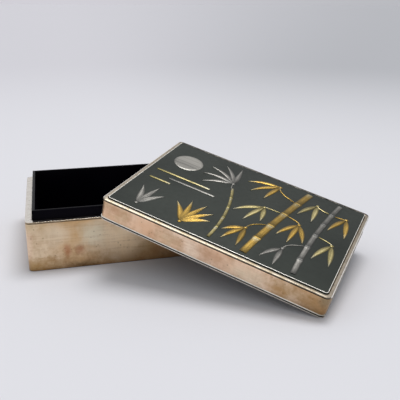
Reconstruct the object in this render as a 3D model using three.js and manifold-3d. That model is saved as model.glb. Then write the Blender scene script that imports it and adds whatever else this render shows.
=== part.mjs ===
// A silver tobacco box with its loose lid leaning on it. Millimetres, +Z up.
// The origin is the centre of the underside of the box, +X runs along its long side,
// +Y points to its back and the rim is at the top.

import * as THREE from 'three';
import { mergeVertices } from 'three/addons/utils/BufferGeometryUtils.js';
import Module from 'manifold-3d';

const wasm = await Module();
wasm.setup();

// Outside of the box and its lid
const boxLength = 150;
const boxWidth = 107;
const rimHeight = 34;
const lidHeight = 15;
const cornerRadius = 3.5;

// Silver, wood and lacquered lining of the box
const silverSheet = 0.8;
const rimWidth = 4.75;
const rimPlate = 0.8;
const basePlate = 0.8;
const coreFloor = 3;
const liningFloor = 1.5;
const liningWall = 1.9;
const lipRise = 6.2;

// The lid's rim, skirt and ceiling
const lidPlay = 0.25;
const lidRimPlate = 0.9;
const lidLining = 1.2;
const lidCoreBoard = 3;
const lidCeiling = 0.9;

// The lid's top: a narrow silver ledge, and the dark plaque that stands above it
// with a wire laid round its upper edge
const ledgeWidth = 2.5;
const ledgeThickness = 0.8;
const ledgeRounding = 0.6;
const plaqueRise = 0.7;
const wireRise = 0.8;
const wireHeight = 0.4;
const wireWidth = 0.65;
const wireCorner = 2;

// Gaps: seam is a glue or solder line, shadowLine the open line above the lid's rim frame
const seam = 0.3;
const shadowLine = 0.7;

// How the loose lid leans: its turn against the line between its two rests on the lip,
// that line's own slant, and the room kept between the lip's corner and the lid's ceiling
const leanTurn = THREE.MathUtils.degToRad(27.74);
const leanSlant = THREE.MathUtils.degToRad(22.78);
const leanHeadroom = 1.1;

// Inlaid picture: bamboo, mist and a full moon. leafDroop is how far the middle of a leaf
// that points sideways bows up, as a share of its length.
const pocketDepth = 0.6;
const relief = 0.5;
const leafLength = 23.5;
const leafWidth = 3.7;
const grassLength = 26;
const grassWidth = 4.2;
const leafDroop = 0.12;
const leafPoint = 0.3;
const stalkLength = 1.2;
const stalkWidth = 0.9;
const hubRadius = 1.3;
const twigWidth = 1;
const moonRadius = 10.5;
const mistWidth = 2;
const longMist = 41;
const middleMist = 35;
const shortMist = 16;
const oldCulmWidth = 5.6;
const greyCulmWidth = 4.2;
const youngCulmWidth = 2.6;
const culmNotch = 0.55;

// Materials
function finish(name, color, roughness, metalness) {
  const material = new THREE.MeshStandardMaterial({ color, roughness, metalness });
  material.name = name;
  return material;
}
const agedSilver = finish('aged silver', '#c4a98a', 0.42, 0.9);
const brightSilver = finish('bright silver', '#e4dfd2', 0.25, 1);
const darkPlaque = finish('dark patinated copper alloy', '#3b3c3a', 0.45, 0.7);
const blackLacquer = finish('black lacquer', '#08080b', 0.25, 0);
const coreWood = finish('cypress core wood', '#b08a5c', 0.7, 0);
const yellowGold = finish('yellow gold', '#c9a044', 0.3, 1);
const paleGold = finish('pale gold', '#cdbd7e', 0.35, 1);
const greySilver = finish('grey silver', '#a9a9a4', 0.35, 1);

// Outlines in plan

// A rectangle about the origin with round corners, or square ones where the radius is spent
function outline(length, width, radius) {
  const x = length / 2;
  const y = width / 2;
  const r = Math.max(radius, 0);
  const shape = new THREE.Shape();
  if (r === 0) {
    shape.moveTo(-x, -y);
    shape.lineTo(x, -y);
    shape.lineTo(x, y);
    shape.lineTo(-x, y);
    shape.closePath();
    return shape;
  }
  shape.absarc(x - r, -y + r, r, -Math.PI / 2, 0);
  shape.absarc(x - r, y - r, r, 0, Math.PI / 2);
  shape.absarc(-x + r, y - r, r, Math.PI / 2, Math.PI);
  shape.absarc(-x + r, -y + r, r, Math.PI, Math.PI * 1.5);
  shape.closePath();
  return shape;
}

// The outline drawn in from the outer faces of box and lid by a distance, with corners
// that stay parallel to the outer ones, or with corners of a radius of their own
function inset(distance) {
  return lidOutline(distance, cornerRadius - distance);
}

function lidOutline(distance, radius) {
  return outline(boxLength - 2 * distance, boxWidth - 2 * distance, radius);
}

// A frame between two outlines
function frameShape(outer, inner) {
  outer.holes.push(inner);
  return outer;
}

// The front side of a mitred frame of boards, with round outer corners
// and half a seam kept at each mitre
function sideShape(length, width, radius, thickness) {
  const x = length / 2;
  const y = -width / 2;
  const r = Math.max(radius, 0);
  const gap = seam / Math.SQRT2;
  const shape = new THREE.Shape();
  shape.moveTo(-x + thickness + gap, y + thickness);
  if (r > gap) {
    const start = Math.PI / 4 + Math.asin(gap / (Math.SQRT2 * r));
    shape.absarc(-x + r, y + r, r, Math.PI + start, Math.PI * 1.5);
    shape.absarc(x - r, y + r, r, Math.PI * 1.5, Math.PI * 2 - start);
  } else {
    shape.lineTo(-x + gap, y);
    shape.lineTo(x - gap, y);
  }
  shape.lineTo(x - thickness - gap, y + thickness);
  shape.closePath();
  return shape;
}

// Solids

function prism(shape, low, high) {
  const settings = { depth: high - low, bevelEnabled: false, curveSegments: 5 };
  return new THREE.ExtrudeGeometry(shape, settings).translate(0, 0, low);
}

function toSolid(geometry) {
  const bare = geometry.clone();
  bare.deleteAttribute('normal');
  bare.deleteAttribute('uv');
  const welded = mergeVertices(bare);
  return new wasm.Manifold(new wasm.Mesh({
    numProp: 3,
    vertProperties: new Float32Array(welded.attributes.position.array),
    triVerts: new Uint32Array(welded.index.array),
  }));
}

function toGeometry(solid) {
  const mesh = solid.getMesh();
  const geometry = new THREE.BufferGeometry();
  geometry.setAttribute('position', new THREE.BufferAttribute(mesh.vertProperties, 3));
  geometry.setIndex(new THREE.BufferAttribute(mesh.triVerts, 1));
  geometry.computeVertexNormals();
  return geometry;
}

// One solid from several shapes drawn between two heights
function joined(shapes, low, high) {
  const solids = shapes.map((shape) => toSolid(prism(shape, low, high)));
  return solids.reduce((whole, solid) => whole.add(solid));
}

function addMesh(group, name, geometry, material) {
  const mesh = new THREE.Mesh(geometry, material);
  mesh.name = name;
  group.add(mesh);
}

// Four boards that make a frame, one mesh each
function addBoards(group, prefix, frame, low, high, material) {
  const { length, width, radius, thickness } = frame;
  const sides = ['front', 'right', 'back', 'left'];
  sides.forEach((side, quarter) => {
    const along = quarter % 2 === 0 ? [length, width] : [width, length];
    const board = prism(sideShape(along[0], along[1], radius, thickness), low, high);
    addMesh(group, `${prefix}_${side}`, board.rotateZ(quarter * Math.PI / 2), material);
  });
}

// The box

const lipTop = rimHeight + lipRise;
const sheetInset = silverSheet + seam;
const wallTop = rimHeight - rimPlate - seam;
const coreFloorLow = basePlate + seam;
const wallFoot = coreFloorLow + coreFloor + seam;

const box = new THREE.Group();

addMesh(box, 'box_silver_band', prism(frameShape(inset(0), inset(silverSheet)), 0, wallTop), agedSilver);

const boxRim = frameShape(inset(0), inset(rimWidth - seam));
addMesh(box, 'box_rim_frame', prism(boxRim, rimHeight - rimPlate, rimHeight), brightSilver);

addMesh(box, 'box_base_plate', prism(inset(sheetInset), 0, basePlate), agedSilver);

addMesh(box, 'box_core_floor', prism(inset(sheetInset), coreFloorLow, coreFloorLow + coreFloor), coreWood);

const boxCore = {
  length: boxLength - 2 * sheetInset,
  width: boxWidth - 2 * sheetInset,
  radius: cornerRadius - sheetInset,
  thickness: rimWidth - seam - sheetInset,
};
addBoards(box, 'box_core', boxCore, wallFoot, wallTop, coreWood);

const boxLining = {
  length: boxLength - 2 * rimWidth,
  width: boxWidth - 2 * rimWidth,
  radius: 0,
  thickness: liningWall,
};
addBoards(box, 'box_lining', boxLining, wallFoot, lipTop, blackLacquer);

const liningInset = rimWidth + liningWall + seam;
addMesh(box, 'box_lining_floor', prism(inset(liningInset), wallFoot, wallFoot + liningFloor), blackLacquer);

// The lid, in its own frame: the origin is in its middle, level with its ledge

const skirt = rimWidth - lidPlay;
const deckTop = -(ledgeThickness + seam);
const deckUnder = deckTop - lidCoreBoard;
const ceilingUnder = deckUnder - seam - lidCeiling;
const lidRimTop = -lidHeight + lidRimPlate;
const railFoot = lidRimTop + seam;

const lid = new THREE.Group();

const lidWall = frameShape(inset(0), inset(silverSheet));
addMesh(lid, 'lid_silver_band', prism(lidWall, lidRimTop + shadowLine, deckTop), agedSilver);

const lidRim = frameShape(inset(0), inset(skirt));
addMesh(lid, 'lid_rim_frame', prism(lidRim, -lidHeight, lidRimTop), brightSilver);

addMesh(lid, 'lid_core_board', prism(inset(sheetInset), deckUnder, deckTop), coreWood);

const lidRails = {
  length: boxLength - 2 * sheetInset,
  width: boxWidth - 2 * sheetInset,
  radius: cornerRadius - sheetInset,
  thickness: skirt - lidLining - seam - sheetInset,
};
addBoards(lid, 'lid_rail', lidRails, railFoot, deckUnder - seam, coreWood);

const lidSkirtLining = {
  length: boxLength - 2 * (skirt - lidLining),
  width: boxWidth - 2 * (skirt - lidLining),
  radius: 0,
  thickness: lidLining,
};
addBoards(lid, 'lid_lining', lidSkirtLining, railFoot, deckUnder - seam, blackLacquer);

addMesh(lid, 'lid_ceiling', prism(inset(skirt + seam), ceilingUnder, deckUnder - seam), blackLacquer);

// The ledge is cut from a slab whose upper edge is rounded over
const plaqueInset = ledgeWidth + seam;
const slab = new THREE.ExtrudeGeometry(inset(ledgeRounding), {
  depth: ledgeThickness,
  bevelEnabled: true,
  bevelThickness: ledgeRounding,
  bevelSize: ledgeRounding,
  bevelSegments: 3,
  curveSegments: 5,
}).translate(0, 0, -ledgeThickness - ledgeRounding);
const below = prism(outline(2 * boxLength, 2 * boxWidth, 0), -4 * ledgeThickness, -ledgeThickness);
const window = prism(lidOutline(ledgeWidth, wireCorner + seam), -2 * ledgeThickness, ledgeThickness);
const ledge = toSolid(slab).subtract(toSolid(below)).subtract(toSolid(window));
addMesh(lid, 'lid_border_frame', toGeometry(ledge), brightSilver);

// The wire lies on a shoulder cut round the plaque's upper edge
const wireShape = frameShape(
  lidOutline(plaqueInset, wireCorner),
  lidOutline(plaqueInset + wireWidth, wireCorner - wireWidth),
);
const wireLow = wireRise - wireHeight;
addMesh(lid, 'lid_wire_frame', prism(wireShape, wireLow, wireRise), brightSilver);

const pictureInset = plaqueInset + wireWidth + seam;
const shoulder = prism(lidOutline(plaqueInset, wireCorner), -ledgeThickness, wireLow - seam);
const pictureField = prism(
  lidOutline(pictureInset, wireCorner - wireWidth - seam),
  -ledgeThickness,
  plaqueRise,
);
let plaque = toSolid(shoulder).add(toSolid(pictureField));

// The picture. Places are shares of the half length and half width of its field.

function at(u, v) {
  return new THREE.Vector2(
    u * (boxLength / 2 - pictureInset),
    v * (boxWidth / 2 - pictureInset),
  );
}

// A flat strip along a curve; its half widths are given at shares of its length
function strip(curve, stations, grow) {
  const left = [];
  const right = [];
  stations.forEach(([share, half], index) => {
    const point = curve.getPointAt(share);
    const along = curve.getTangentAt(share);
    if (index === 0) {
      point.addScaledVector(along, -grow);
    }
    if (index === stations.length - 1) {
      point.addScaledVector(along, grow);
    }
    const across = new THREE.Vector2(-along.y, along.x);
    left.push(point.clone().addScaledVector(across, half + grow));
    right.push(point.clone().addScaledVector(across, -half - grow));
  });
  return new THREE.Shape([...right, ...left.reverse()]);
}

// A bamboo leaf: a thin stalk, then a blade that is widest a third of the way to its point.
// It droops to either side, so one that points straight up or down stays straight.
function leaf(hub, degrees, length, width, grow) {
  const turn = THREE.MathUtils.degToRad(degrees);
  const along = new THREE.Vector2(Math.cos(turn), Math.sin(turn));
  const across = new THREE.Vector2(-along.y, along.x);
  const bow = hub.clone().addScaledVector(along, length / 2);
  bow.addScaledVector(across, 2 * leafDroop * along.x * length);
  const point = hub.clone().addScaledVector(along, length);
  const stalk = stalkLength / length;
  const half = (s) => width * 1.3 * Math.sqrt(s) * (1 - s);
  const blade = [0.07, 0.2, 0.38, 0.6, 0.82, 1].map((s) => [stalk + s * (1 - stalk), half(s)]);
  const stations = [[0, stalkWidth / 2], [stalk, stalkWidth / 2], ...blade];
  stations[stations.length - 1][1] = leafPoint / 2;
  return strip(new THREE.QuadraticBezierCurve(hub, bow, point), stations, grow);
}

function disc(centre, radius, sides) {
  const circle = new THREE.EllipseCurve(centre.x, centre.y, radius, radius);
  return new THREE.Shape(circle.getPoints(sides).slice(0, -1));
}

// A bamboo culm: each length between two joints flares a little at both ends,
// and a narrow notch parts it from the next
function culm(path, width, joints) {
  const curve = new THREE.QuadraticBezierCurve(...path);
  const notch = culmNotch / curve.getLength();
  const half = width / 2;
  const stations = [];
  for (let i = 0; i < joints; i += 1) {
    const low = i / joints + (i === 0 ? 0 : notch);
    const high = (i + 1) / joints - (i === joints - 1 ? 0 : notch);
    stations.push([low, half], [low + 3 * notch, half * 0.86]);
    stations.push([high - 3 * notch, half * 0.86], [high, half]);
    if (i < joints - 1) {
      stations.push([high + 0.4 * notch, half * 0.5], [high + 1.6 * notch, half * 0.5]);
    }
  }
  const plain = Array.from({ length: joints + 1 }, (_, i) => [i / joints, half]);
  return {
    curve,
    shapes: (grow) => [strip(curve, grow > 0 ? plain : stations, grow)],
  };
}

// A spray of leaves on a hub, with a twig where it hangs from a culm
function spray(hub, leaves, size, twigFrom) {
  return {
    shapes: (grow) => {
      const blades = leaves.map(([degrees, share]) => (
        leaf(hub, degrees, size.length * share, size.width, grow)
      ));
      const shapes = [disc(hub, hubRadius + grow, 8), ...blades];
      if (twigFrom) {
        const bow = new THREE.Vector2(hub.x, twigFrom.y).lerp(hub, 0.4);
        const curve = new THREE.QuadraticBezierCurve(twigFrom, bow, hub);
        const stations = [0, 0.25, 0.5, 0.75, 1].map((share) => [share, twigWidth / 2]);
        shapes.push(strip(curve, stations, grow));
      }
      return shapes;
    },
  };
}

// A band of mist: a long bar with round ends
function mist(centre, length) {
  return {
    shapes: (grow) => {
      const r = mistWidth / 2 + grow;
      const x = length / 2 - mistWidth / 2;
      const shape = new THREE.Shape();
      shape.absarc(centre.x + x, centre.y, r, -Math.PI / 2, Math.PI / 2);
      shape.absarc(centre.x - x, centre.y, r, Math.PI / 2, Math.PI * 1.5);
      shape.closePath();
      return [shape];
    },
  };
}

const oldCulm = culm([at(0.26, -0.94), at(0.32, 0), at(0.46, 0.94)], oldCulmWidth, 5);
const greyCulm = culm([at(0.7, -0.94), at(0.67, 0), at(0.77, 0.94)], greyCulmWidth, 6);
const youngCulm = culm([at(-0.06, -0.94), at(-0.04, -0.3), at(-0.2, 0.3)], youngCulmWidth, 5);
const culms = [oldCulm, greyCulm, youngCulm];

const moon = { shapes: (grow) => [disc(at(-0.75, 0.51), moonRadius + grow, 32)] };

const bambooLeaf = { length: leafLength, width: leafWidth };
const grassLeaf = { length: grassLength, width: grassWidth };

// Leaves of a spray: the direction of each in degrees and its share of the full length
function bamboo(hub, leaves, twigFrom) {
  return spray(hub, leaves, bambooLeaf, twigFrom);
}

function grass(hub, leaves) {
  return spray(hub, leaves, grassLeaf, null);
}

const oldJoint = (share) => oldCulm.curve.getPointAt(share);
const greyJoint = (share) => greyCulm.curve.getPointAt(share);
const youngTop = youngCulm.curve.getPointAt(0.95);

const youngLeaves = [[96, 1], [124, 1.05], [152, 1.05], [182, 1], [212, 0.95]];
const goldBlades = [[38, 0.75], [56, 0.95], [76, 1.05], [98, 1], [121, 0.85]];

const picture = [
  ['inlay_culm_old', oldCulm, yellowGold],
  ['inlay_culm_grey', greyCulm, greySilver],
  ['inlay_culm_young', youngCulm, paleGold],
  ['inlay_moon', moon, greySilver],
  ['inlay_mist_high', mist(at(-0.65, 0.06), longMist), paleGold],
  ['inlay_mist_middle', mist(at(-0.52, -0.065), middleMist), greySilver],
  ['inlay_mist_low', mist(at(-0.81, -0.19), shortMist), paleGold],
  ['inlay_spray_young', bamboo(at(-0.23, 0.43), youngLeaves, youngTop), greySilver],
  [
    'inlay_spray_top',
    bamboo(at(0.17, 0.83), [[202, 1], [230, 1.05], [258, 1]], oldJoint(0.8)),
    yellowGold,
  ],
  [
    'inlay_spray_middle',
    bamboo(at(0.17, 0.17), [[226, 1], [254, 1.05], [280, 0.8]], oldJoint(0.6)),
    paleGold,
  ],
  [
    'inlay_spray_low',
    bamboo(at(0.15, -0.45), [[224, 0.7], [247, 0.95], [275, 0.95]], oldJoint(0.4)),
    yellowGold,
  ],
  [
    'inlay_spray_hanging',
    bamboo(at(0.58, 0.725), [[246, 0.95], [274, 1]], greyJoint(5 / 6)),
    paleGold,
  ],
  [
    'inlay_spray_between',
    bamboo(at(0.53, 0.085), [[245, 0.95], [268, 1.05], [292, 0.9]], oldJoint(0.6)),
    yellowGold,
  ],
  [
    'inlay_spray_foot',
    bamboo(at(0.52, -0.55), [[240, 0.8], [270, 0.85]], greyJoint(1 / 3)),
    greySilver,
  ],
  [
    'inlay_spray_right',
    bamboo(at(0.88, 0.66), [[250, 1], [279, 1.05]], greyJoint(5 / 6)),
    yellowGold,
  ],
  [
    'inlay_spray_far',
    bamboo(at(0.87, -0.08), [[251, 1], [279, 1]], greyJoint(0.5)),
    paleGold,
  ],
  ['inlay_grass_gold', grass(at(-0.35, -0.88), goldBlades), yellowGold],
  [
    'inlay_grass_grey',
    grass(at(-0.78, -0.88), [[58, 0.8], [82, 0.95], [108, 0.85]]),
    greySilver,
  ],
];

// Each inlay lies in a pocket a seam wider and deeper than itself, and a twig ends where
// the culm that carries it begins
const pocketFloor = plaqueRise - pocketDepth;
const inlayTop = plaqueRise + relief;
const culmRoom = culms
  .map((piece) => joined(piece.shapes(seam), pocketFloor - seam, inlayTop + seam))
  .reduce((whole, solid) => whole.add(solid));

picture.forEach(([name, piece, material]) => {
  plaque = plaque.subtract(joined(piece.shapes(seam), pocketFloor, inlayTop));
  const whole = joined(piece.shapes(0), pocketFloor + seam, inlayTop);
  const inlay = culms.includes(piece) ? whole : whole.subtract(culmRoom);
  addMesh(lid, name, toGeometry(inlay), material);
});
addMesh(lid, 'lid_plaque', toGeometry(plaque), darkPlaque);

// How the lid leans. The inner lower edge of its left skirt rests on the front lip and the
// inner lower edge of its back skirt on the right lip, a seam above both; the underside tips
// about the level line between the two rests until the front right corner meets the table.

const restHeight = lipTop + seam;
const roomUnderCeiling = lidHeight + ceilingUnder - leanHeadroom + seam;

// The inner back left corner of the skirt, and the line of rests seen in the lid's own plan
const innerCorner = new THREE.Vector2(-boxLength / 2 + skirt, boxWidth / 2 - skirt);
const restLine = new THREE.Vector2(Math.sin(leanTurn), Math.cos(leanTurn));
const towardsTable = new THREE.Vector2(restLine.y, -restLine.x);

// The farthest point of the round front right corner, counted from the inner back corner
const farCentre = new THREE.Vector2(boxLength / 2 - cornerRadius, -boxWidth / 2 + cornerRadius);
const farReach = farCentre.sub(innerCorner).dot(towardsTable) + cornerRadius;

// The distance between the rests that leaves the lip's corner just clear of the ceiling
const lidLever = Math.sin(leanTurn) * Math.cos(leanTurn);
const boxLever = Math.sin(leanSlant) * Math.cos(leanSlant);
const span = roomUnderCeiling * farReach / (boxLever * restHeight + lidLever * roomUnderCeiling);
const tilt = Math.asin(restHeight / (farReach - lidLever * span));

const lipCorner = new THREE.Vector2(boxLength / 2 - rimWidth, -boxWidth / 2 + rimWidth);
const frontRest = new THREE.Vector3(
  lipCorner.x - span * Math.cos(leanSlant),
  lipCorner.y,
  restHeight,
);
const alongRests = new THREE.Vector3(Math.cos(leanSlant), Math.sin(leanSlant), 0);
const downSlope = new THREE.Vector3(
  Math.sin(leanSlant) * Math.cos(tilt),
  -Math.cos(leanSlant) * Math.cos(tilt),
  -Math.sin(tilt),
);

// Unit vectors of the lid's own axes, seen in the frame of the box
const lidX = alongRests.clone().multiplyScalar(restLine.x).addScaledVector(downSlope, towardsTable.x);
const lidY = alongRests.clone().multiplyScalar(restLine.y).addScaledVector(downSlope, towardsTable.y);
const lidZ = lidX.clone().cross(lidY);
const restInLid = new THREE.Vector3(
  innerCorner.x,
  innerCorner.y - span * Math.cos(leanTurn),
  -lidHeight,
);

lid.setRotationFromMatrix(new THREE.Matrix4().makeBasis(lidX, lidY, lidZ));
lid.position.copy(frontRest).sub(restInLid.applyQuaternion(lid.quaternion));

const tobaccoBox = new THREE.Group();
tobaccoBox.add(box, lid);

export default tobaccoBox;
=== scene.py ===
# %% [markdown]
# # A silver tobacco box with its lid leaning on it
#
# The real box is a wooden case dressed in sheet silver. A black lacquered lining stands up
# past the silver rim as a lip, and a lid with an inlaid metal picture slips over that lip.
# Here the lid is off: it leans on the front and right edges of the lip. Each piece below is
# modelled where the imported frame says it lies, and then given the finish of the real metal,
# lacquer or wood.

# %% Load the frame
import bisect
import math
import random

import bmesh
import bpy
from mathutils import Matrix, Vector, noise


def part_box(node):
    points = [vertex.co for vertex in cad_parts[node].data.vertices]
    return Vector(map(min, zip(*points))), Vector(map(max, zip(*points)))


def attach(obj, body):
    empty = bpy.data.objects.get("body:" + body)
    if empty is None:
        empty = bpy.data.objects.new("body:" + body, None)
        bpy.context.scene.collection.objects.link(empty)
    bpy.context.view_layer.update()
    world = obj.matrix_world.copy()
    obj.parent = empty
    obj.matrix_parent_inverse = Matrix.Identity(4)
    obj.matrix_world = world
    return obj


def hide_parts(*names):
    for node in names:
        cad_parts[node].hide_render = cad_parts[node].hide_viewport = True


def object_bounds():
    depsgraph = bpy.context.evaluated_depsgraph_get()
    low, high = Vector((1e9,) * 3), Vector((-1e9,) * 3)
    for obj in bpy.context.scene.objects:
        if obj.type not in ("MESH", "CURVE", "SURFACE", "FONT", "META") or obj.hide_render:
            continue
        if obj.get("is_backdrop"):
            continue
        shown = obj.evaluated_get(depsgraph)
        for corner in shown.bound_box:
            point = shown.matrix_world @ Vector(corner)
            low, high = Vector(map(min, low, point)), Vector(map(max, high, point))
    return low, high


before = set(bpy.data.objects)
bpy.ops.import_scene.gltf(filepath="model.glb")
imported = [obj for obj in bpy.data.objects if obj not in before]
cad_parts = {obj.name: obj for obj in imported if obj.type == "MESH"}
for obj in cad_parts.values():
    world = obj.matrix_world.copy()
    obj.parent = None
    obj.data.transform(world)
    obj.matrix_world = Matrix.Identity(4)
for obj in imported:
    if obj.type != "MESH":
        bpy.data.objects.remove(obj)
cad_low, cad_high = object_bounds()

MM = 0.001
TO_METRES = Matrix.Scale(MM, 4)

size_mm = (cad_high - cad_low) / MM
print(f"the frame has {len(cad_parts)} nodes and measures", [round(s, 1) for s in size_mm], "mm")

# %% [markdown]
# ## Camera
#
# The picture was taken from a little above the table with a lens of normal length, so the
# box's upright edges lean only slightly. The camera stands where the edges of the box and of
# the lid fall on the same pixels as in the photograph. Its lens follows from the focal length
# in pixels, because the sensor's 36 mm stand for the 400 pixels of the frame.

# %% The camera at the photograph's viewpoint
FRAME_PIXELS = 400
FOCAL_PIXELS = 583.2
CAMERA_PLACE = Vector((-0.05647, -0.41526, 0.16675))
CAMERA_TURN = math.radians(-14.91)
CAMERA_PITCH = math.radians(-18.67)
CAMERA_ROLL = math.radians(-0.32)

camera_data = bpy.data.cameras.new("photo_camera")
camera_data.lens = camera_data.sensor_width * FOCAL_PIXELS / FRAME_PIXELS
camera = bpy.data.objects.new("photo_camera", camera_data)
camera.matrix_world = (
    Matrix.Translation(CAMERA_PLACE)
    @ Matrix.Rotation(CAMERA_TURN, 4, "Z")
    @ Matrix.Rotation(CAMERA_PITCH, 4, "X")
    @ Matrix.Rotation(CAMERA_ROLL, 4, "Y")
    @ Matrix.Rotation(math.pi / 2, 4, "X")
)
bpy.context.scene.collection.objects.link(camera)
bpy.context.scene.camera = camera
bpy.context.scene.view_settings.view_transform = "Standard"
print(f"the lens is {camera_data.lens:.1f} mm long")

# %% [markdown]
# ## Building finishes
#
# A finish is a small network of nodes. One function adds a node with its settings and its
# links, and another turns the hex value of a colour, as a painter would read it off a swatch,
# into the linear numbers that light is counted in. Patterns read Object coordinates in
# metres, so a texture's scale is worked out from the real size of one blotch or grain. Most
# finishes are painted in layers, from the clean metal or wood up to the dirt, and a third
# function lays one such layer over what lies below it. The last one gives the painted
# surface its skin: how rough it is and how it dips and rises follow the same pattern.

# %% Helpers for finishes
FACTOR, FIRST, SECOND, MIXED = 0, 6, 7, 2    # where a Mix node keeps its colour sockets


def linear(swatch):
    """An sRGB hex value as linear red, green, blue and alpha."""
    parts = [int(swatch[i:i + 2], 16) / 255 for i in (1, 3, 5)]
    return [c / 12.92 if c <= 0.04045 else ((c + 0.055) / 1.055) ** 2.4 for c in parts] + [1]


def add_node(tree, kind, inputs=None, **settings):
    """Adds a node, sets its properties, then fills or links its inputs."""
    node = tree.nodes.new("ShaderNode" + kind)
    for name, value in settings.items():
        setattr(node, name, value)
    for key, value in (inputs or {}).items():
        if isinstance(value, bpy.types.NodeSocket):
            tree.links.new(value, node.inputs[key])
        else:
            node.inputs[key].default_value = value
    return node


def new_finish(name, slot="", along=None, **sockets):
    """A material, its node tree, its shader and the coordinates that its patterns read.

    They are Object coordinates, or the mesh's own attribute that along names. slot is not used.
    Numbers that are the same all over sit on the shader's sockets.
    """
    material = bpy.data.materials.new(name)
    material.use_nodes = True
    tree = material.node_tree
    shader = tree.nodes["Principled BSDF"]
    for socket, value in sockets.items():
        shader.inputs[socket.replace("_", " ")].default_value = value
    if along:
        return material, tree, shader, add_node(tree, "Attribute", attribute_name=along).outputs["Vector"]
    return material, tree, shader, add_node(tree, "TexCoord").outputs["Object"]


def across(millimetres):
    """The scale of a noise whose blotches are about this many millimetres across."""
    return 0.5 / (millimetres * MM)


def lay_over(tree, under, over, pattern, bare, covered, most=1.0, **settings):
    """Lays a colour over another, from nothing where a pattern is bare to most where covered."""
    reach = {0: pattern, "From Min": bare, "From Max": covered, "To Max": most}
    share = add_node(tree, "MapRange", reach, **settings).outputs[0]
    colours = {FIRST: under, SECOND: linear(over) if isinstance(over, str) else over}
    return add_node(tree, "Mix", {FACTOR: share, **colours}, data_type="RGBA").outputs[MIXED]


def give_skin(tree, shader, colour, pattern, smooth, rough, depth, strength=0.5, **settings):
    """Links the colour, and lets roughness and a relief follow a pattern; depth is in mm."""
    tree.links.new(colour, shader.inputs["Base Color"])
    sheen = {0: pattern, "From Min": 0.3, "From Max": 0.7, "To Min": smooth, "To Max": rough}
    tree.links.new(add_node(tree, "MapRange", sheen).outputs[0], shader.inputs["Roughness"])
    relief = {"Height": pattern, "Distance": depth * MM, "Strength": strength}
    normal = add_node(tree, "Bump", relief, **settings).outputs[0]
    tree.links.new(normal, shader.inputs["Normal"])
    return normal


print("one blotch of 20 mm asks for a noise scale of", across(20))

# %% [markdown]
# ## Stage and light
#
# The box stands on a seamless sweep of pale paper. The light is that of a small studio tent:
# white cloth all round and overhead, brightest above. One broad lamp hangs high up, a little
# behind the box and to its right, so that the soft shadows fall under the lid and a little
# towards the viewer. It is a sun lamp, as if it hung very far away, so that near and far
# paper get the same light, and its angle makes it broad. Both together give a level surface
# about as much light as its colour says. Metal has no colour without something to mirror, so
# the cloth slopes from bright to grey, and silver shows that slope.
#
# The paper greys a little with distance and towards the right: painted shade for the studio's
# light falling off. Its colour therefore follows the direction in which a point of the floor
# lies, and the sky behind the floor's far edge is given the colours that the lit paper has
# there, so that no horizon shows.

# %% Paper floor
FLOOR_HALF = 60
NEAR_PAPER = "#d3d3d8"
LEFT_PAPER = "#c5c4ca"
RIGHT_PAPER = "#aaabb0"
FAR_FROM, FAR_TO = 0.05, 1.4
LEFT_SIDE, RIGHT_SIDE = 0.0, 0.6


def paper_with_painted_falloff(tree, direction, left, right):
    """The paper's colour far away, greying from left to right of the view as painted shade."""
    side = add_node(tree, "SeparateXYZ", {0: direction}).outputs["X"]
    return lay_over(
        tree, linear(left), right, side, LEFT_SIDE, RIGHT_SIDE, interpolation_type="SMOOTHSTEP"
    )


floor_finish, floor_tree, floor_shader, floor_place = new_finish(
    "pale_paper_floor", Roughness=0.9, Specular_IOR_Level=0.1
)
floor_way = add_node(floor_tree, "VectorMath", {0: floor_place}, operation="NORMALIZE").outputs[0]
floor_away = add_node(floor_tree, "VectorMath", {0: floor_place}, operation="LENGTH").outputs["Value"]
# Painted shade: the paper darkens with distance and towards the right, as the studio's light falls off.
floor_colour_with_painted_falloff = lay_over(
    floor_tree,
    linear(NEAR_PAPER),
    paper_with_painted_falloff(floor_tree, floor_way, LEFT_PAPER, RIGHT_PAPER),
    floor_away,
    FAR_FROM,
    FAR_TO,
    interpolation_type="SMOOTHSTEP",
)
floor_tree.links.new(floor_colour_with_painted_falloff, floor_shader.inputs["Base Color"])
floor_mesh = bpy.data.meshes.new("paper_floor")
floor_build = bmesh.new()
bmesh.ops.create_grid(floor_build, x_segments=1, y_segments=1, size=FLOOR_HALF)
floor_build.to_mesh(floor_mesh)
floor_build.free()
floor_mesh.materials.append(floor_finish)
floor = bpy.data.objects.new("paper_floor", floor_mesh)
bpy.context.scene.collection.objects.link(floor)
floor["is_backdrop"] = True
print("the floor reaches", FLOOR_HALF, "m each way")

# %% Tent and lamp
TENT_LOW, TENT_HIGH = 0.5, 0.78
TENT_DARKEST = -0.2
TENT_TOWARDS = Vector((-0.5, 0.25, 0.83)).normalized()
SKY_LEFT = "#d2d0d7"
SKY_RIGHT = "#b9babf"

world = bpy.data.worlds.new("studio_tent")
bpy.context.scene.world = world
world.use_nodes = True
tent = world.node_tree
tent.nodes.clear()
looking = add_node(tent, "TexCoord").outputs["Generated"]
slope = add_node(tent, "VectorMath", {0: looking, 1: TENT_TOWARDS}, operation="DOT_PRODUCT")
sloping = {"From Min": TENT_DARKEST, "From Max": 1.0, "To Min": TENT_LOW, "To Max": TENT_HIGH}
level = add_node(tent, "MapRange", {0: slope.outputs["Value"], **sloping}).outputs[0]
sky = paper_with_painted_falloff(tent, looking, SKY_LEFT, SKY_RIGHT)
seen = add_node(tent, "Background", {"Color": sky, "Strength": 1.0}).outputs[0]
lit = add_node(tent, "Background", {"Color": linear("#f9fafb"), "Strength": level}).outputs[0]
ray = add_node(tent, "LightPath").outputs["Is Camera Ray"]
either = add_node(tent, "MixShader", {0: ray, 1: lit, 2: seen}).outputs[0]
add_node(tent, "OutputWorld", {"Surface": either})

LAMP_PLACE = Vector((0.48, 0.45, 2.1))
LAMP_BREADTH = math.radians(31)
LAMP_STRENGTH = 1.7

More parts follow.
